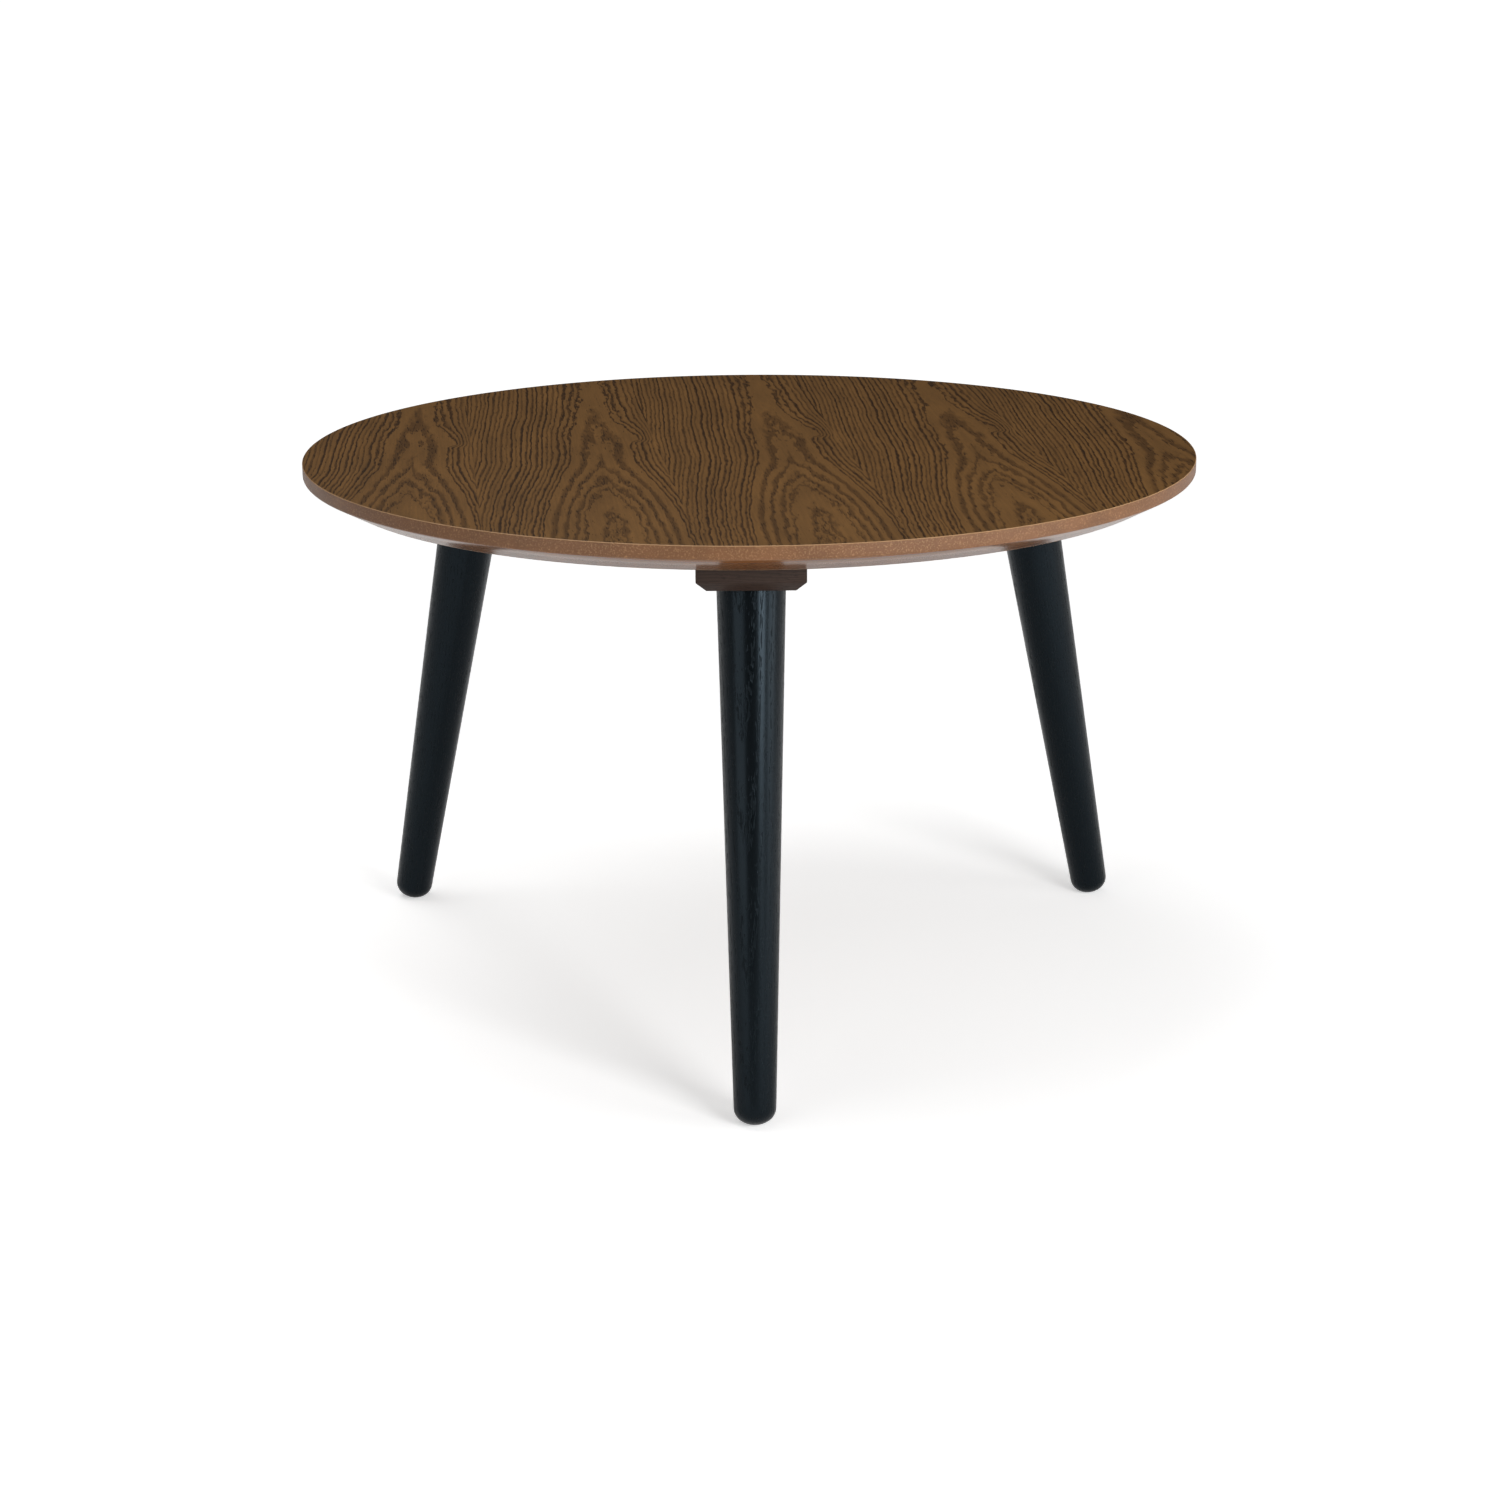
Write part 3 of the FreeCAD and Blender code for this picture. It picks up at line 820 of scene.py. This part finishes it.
# the hanger bolts: a machine thread that screws into the insert, a plain neck and a coarse thread in the leg
boltShape = {
    "radius": 4.0 * mm,
    "endChamfer": 1.0 * mm,
    "tipLength": 8.0 * mm,
    "machinePitch": 1.25 * mm,
    "machineDepth": 0.6 * mm,
    "woodPitch": 2.5 * mm,
    "woodDepth": 1.0 * mm,
    "woodFlank": 2.2,  # times as steep as a plain V, which leaves a flat root
    "neck": 4.0 * mm,  # plain, just below the seat
    "stepsPerPitch": 8,
    "segments": 48,
    "hardAngle": 60,
}


def threadBolts(material):
    s = boltShape
    node = frame["nodes"]["hanger_bolt_front"]
    seat = legPlace("front").inverted()
    heights = [(seat @ vertex.co).z for vertex in node.data.vertices]
    low, high = min(heights), max(heights)

    def groove(height, turn):
        if -s["neck"] < height <= 0:
            return 0
        machine = height > 0
        pitch = s["machinePitch"] if machine else s["woodPitch"]
        phase = (height / pitch - turn / (2 * math.pi)) % 1
        crest = abs(2 * phase - 1)  # 1 on the ridge, 0 in the root
        if machine:
            return -s["machineDepth"] * (1 - crest)
        taper = min(1, (height - low) / s["tipLength"])
        return -s["woodDepth"] * taper * min(1, s["woodFlank"] * (1 - crest))

    rings = [(0, low)]
    height = low
    while height < high - s["endChamfer"]:
        height += (s["machinePitch"] if height > 0 else s["woodPitch"]) / s["stepsPerPitch"]
        height = min(height, high - s["endChamfer"])
        rings.append((s["radius"] * min(1, (height - low) / s["tipLength"]), height))
    rings += [(s["radius"] - s["endChamfer"], high), (0, high)]
    for side in legSides:
        mesh = turnedMesh("hangerBolt" + side.title(), rings, s["segments"], groove, s["hardAngle"])
        standPiece("hangerBolt" + side.title(), mesh, material, legPlace(side), side + "_bolt",
                   ["hanger_bolt_" + side])


zinc = zincPlate()
threadBolts(zinc)
print("bolts: three threaded")


# the blocks: square, chamfered below, drilled for the leg, its insert and four screws
blockShape = {
    "chamfer": 8.0 * mm,
    "ease": 0.5 * mm,
    "easeSteps": 2,
    "socketRadius": 27.5 * mm,
    "socketReach": 60.0 * mm,  # of the cutter below the seat
    "flangeRadius": 8.55 * mm,
    "flangeDepth": 1.65 * mm,
    "insertRadius": 6.35 * mm,
    "insertDepth": 15.05 * mm,
    "segments": 96,
    "hardAngle": 25,
}


def cutBlock(side, material):
    s = blockShape
    bm = bmesh.new()
    loops = []
    for inset, height in ((s["chamfer"], 0), (0, s["chamfer"]), (0, blockTall)):
        w = blockHalf - inset
        loops.append([bm.verts.new((x, y, height)) for x, y in ((-w, -w), (w, -w), (w, w), (-w, w))])
    for low, high in zip(loops, loops[1:]):
        for i in range(4):
            j = (i + 1) % 4
            bm.faces.new((low[i], low[j], high[j], high[i]))
    bm.faces.new(loops[0][::-1])
    bm.faces.new(loops[-1])
    eased = [edge for edge in bm.edges if min(v.co.z for v in edge.verts) < s["chamfer"] + s["ease"]]
    bmesh.ops.bevel(bm, geom=eased, offset=s["ease"], segments=s["easeSteps"], profile=0.5, affect="EDGES")
    blank = bpy.data.meshes.new("blockBlank")
    bm.to_mesh(blank)
    bm.free()
    rings = [
        (0, -s["socketReach"]),
        (s["socketRadius"], -s["socketReach"]),
        (s["socketRadius"], 0),
        (s["flangeRadius"], 0),
        (s["flangeRadius"], s["flangeDepth"]),
        (s["insertRadius"], s["flangeDepth"]),
        (s["insertRadius"], s["insertDepth"]),
        (0, s["insertDepth"]),
    ]
    socket = turnedMesh("socketCutter", rings, s["segments"])
    socket.transform(blockPlace(side).inverted() @ legPlace(side))
    mesh = drill(blank, [socket, *screwCutters()], s["hardAngle"])
    mesh.name = "block" + side.title()
    standPiece("block" + side.title(), mesh, material, blockPlace(side), "tabletop",
               ["mounting_block_" + side])


blockWood = stainedBlock()
for side in legSides:
    cutBlock(side, blockWood)
print("blocks: three cut and drilled")


for side in legSides:
    dressNode("insert_nut_" + side, zinc)
    dressNode("block_screws_" + side, zinc)
print("fittings: zinc plated")


# the floor: matt white paper, lifted to the eye so it clears to white outside the shadow,
# and less in reflections, where it would otherwise come out brighter than white
floorFinish = {
    "paper": "#f2f2f2",
    "liftNear": 0.5,
    "liftFar": 0.95,
    "near": 0.8,  # metres from the middle
    "far": 3.5,
    "mirrored": 0.5,  # share of the lift that reflections show
    "reach": 60.0,
}


def layFloor():
    f = floorFinish
    material, tree = newMaterial("paperSweep")
    rays = addNode(tree, "LightPath").node
    seen = addNode(tree, "Math", {0: rays.outputs["Is Camera Ray"], 1: rays.outputs["Is Transmission Ray"]},
                   operation="ADD", use_clamp=True)
    seen = addNode(tree, "Math", {0: rays.outputs["Is Glossy Ray"], 1: f["mirrored"], 2: seen},
                   operation="MULTIPLY_ADD", use_clamp=True)
    place = addNode(tree, "TexCoord", out="Object")
    away = addNode(tree, "VectorMath", {0: place}, "Value", operation="LENGTH")
    lift = addNode(tree, "MapRange", {0: away, 1: f["near"], 2: f["far"], 3: f["liftNear"], 4: f["liftFar"]})
    lift = addNode(tree, "Math", {0: seen, 1: lift}, operation="MULTIPLY")
    paper = addNode(tree, "BsdfDiffuse", {"Color": hexToLinear(f["paper"])})
    glow = addNode(tree, "Emission", {"Strength": lift})
    both = addNode(tree, "AddShader", {0: paper, 1: glow})
    # clear from below, for views of the underside
    under = addNode(tree, "NewGeometry", out="Backfacing")
    clear = addNode(tree, "BsdfTransparent")
    surface = addNode(tree, "MixShader", {0: under, 1: both, 2: clear})
    addNode(tree, "OutputMaterial", {"Surface": surface})
    bm = bmesh.new()
    bmesh.ops.create_grid(bm, x_segments=1, y_segments=1, size=f["reach"])
    mesh = bpy.data.meshes.new("floor")
    bm.to_mesh(mesh)
    bm.free()
    mesh.materials.append(material)
    floor = bpy.data.objects.new("floor", mesh)
    scene.collection.objects.link(floor)


layFloor()


# the studio: a dim, even room, white to the eye; reflections find it white below the horizon, dark above it
roomLight = {
    "ambient": 0.128,
    "mirrored": 0.04,  # above the horizon
    "horizon": 0.02,  # depth of the step from white to dark
}


def lightRoom():
    r = roomLight
    world = bpy.data.worlds.new("studio")
    world.use_nodes = True
    tree = world.node_tree
    tree.nodes.clear()
    rays = addNode(tree, "LightPath").node
    heading = addNode(tree, "TexCoord", out="Generated")
    rise = addNode(tree, "SeparateXYZ", {0: heading}, 2)
    wall = addNode(tree, "MapRange", {0: rise, 1: -r["horizon"], 2: 0.0, 3: 1.0, 4: r["mirrored"]})
    mirrored = addNode(tree, "Math", {0: rays.outputs["Is Glossy Ray"],
                                      1: rays.outputs["Is Transmission Ray"]},
                       operation="ADD", use_clamp=True)
    strength = addNode(tree, "Mix", {0: mirrored, 2: r["ambient"], 3: wall})
    strength = addNode(tree, "Mix", {0: rays.outputs["Is Camera Ray"], 2: strength, 3: 1.0})
    back = addNode(tree, "Background", {"Color": (1, 1, 1, 1), "Strength": strength})
    addNode(tree, "OutputWorld", {"Surface": back})
    scene.world = world


# softboxes: name, place, point aimed at, width, height, radiance
softboxes = (
    ("keyRight", (1.5, -2.3, 1.15), (0, -0.3, 0.35), 1.0, 1.4, 11.6),
    ("sideRight", (2.55, -1.05, 0.75), (0, 0, 0.35), 1.5, 1.2, 3.8),
    ("fillLeft", (-1.7, -2.0, 0.65), (0, -0.3, 0.35), 1.6, 1.2, 1.7),
    ("overhead", (-0.55, 0.25, 2.4), (-0.1, 0, 0.4), 1.8, 1.8, 2.65),
)


def hangSoftboxes():
    for name, place, aim, width, height, radiance in softboxes:
        lamp = bpy.data.lights.new(name, "AREA")
        lamp.shape, lamp.size, lamp.size_y = "RECTANGLE", width, height
        lamp.energy = radiance * math.pi * width * height
        holder = bpy.data.objects.new(name, lamp)
        scene.collection.objects.link(holder)
        holder.location = place
        holder.rotation_euler = (Vector(aim) - Vector(place)).to_track_quat("-Z", "Y").to_euler()


lightRoom()
hangSoftboxes()
print("studio: floor, room and softboxes")


# the camera, fitted to the rim and the legs in the photograph
cameraFit = {
    "lens": 75.68,  # mm
    "sensor": 36.0,
    "distance": 2632.0 * mm,
    "height": 966.14 * mm,
    "around": 0.17,  # degrees off the front leg
    "heading": 0.148,
    "pitch": 16.345,
    "roll": -0.391,
    "clipEnd": 500.0,
}


def setCamera():
    c = cameraFit
    data = bpy.data.cameras.new("camera")
    data.sensor_width, data.lens = c["sensor"], c["lens"]
    data.clip_end = c["clipEnd"]
    camera = bpy.data.objects.new("camera", data)
    scene.collection.objects.link(camera)
    off = math.radians(c["around"])
    stand = Matrix.Translation((-c["distance"] * math.sin(off), -c["distance"] * math.cos(off), c["height"]))
    heading = Matrix.Rotation(-math.radians(c["heading"]), 4, "Z")
    pitch = Matrix.Rotation(math.radians(90 - c["pitch"]), 4, "X")
    roll = Matrix.Rotation(math.radians(c["roll"]), 4, "Z")
    camera.matrix_world = stand @ heading @ pitch @ roll
    scene.camera = camera


setCamera()
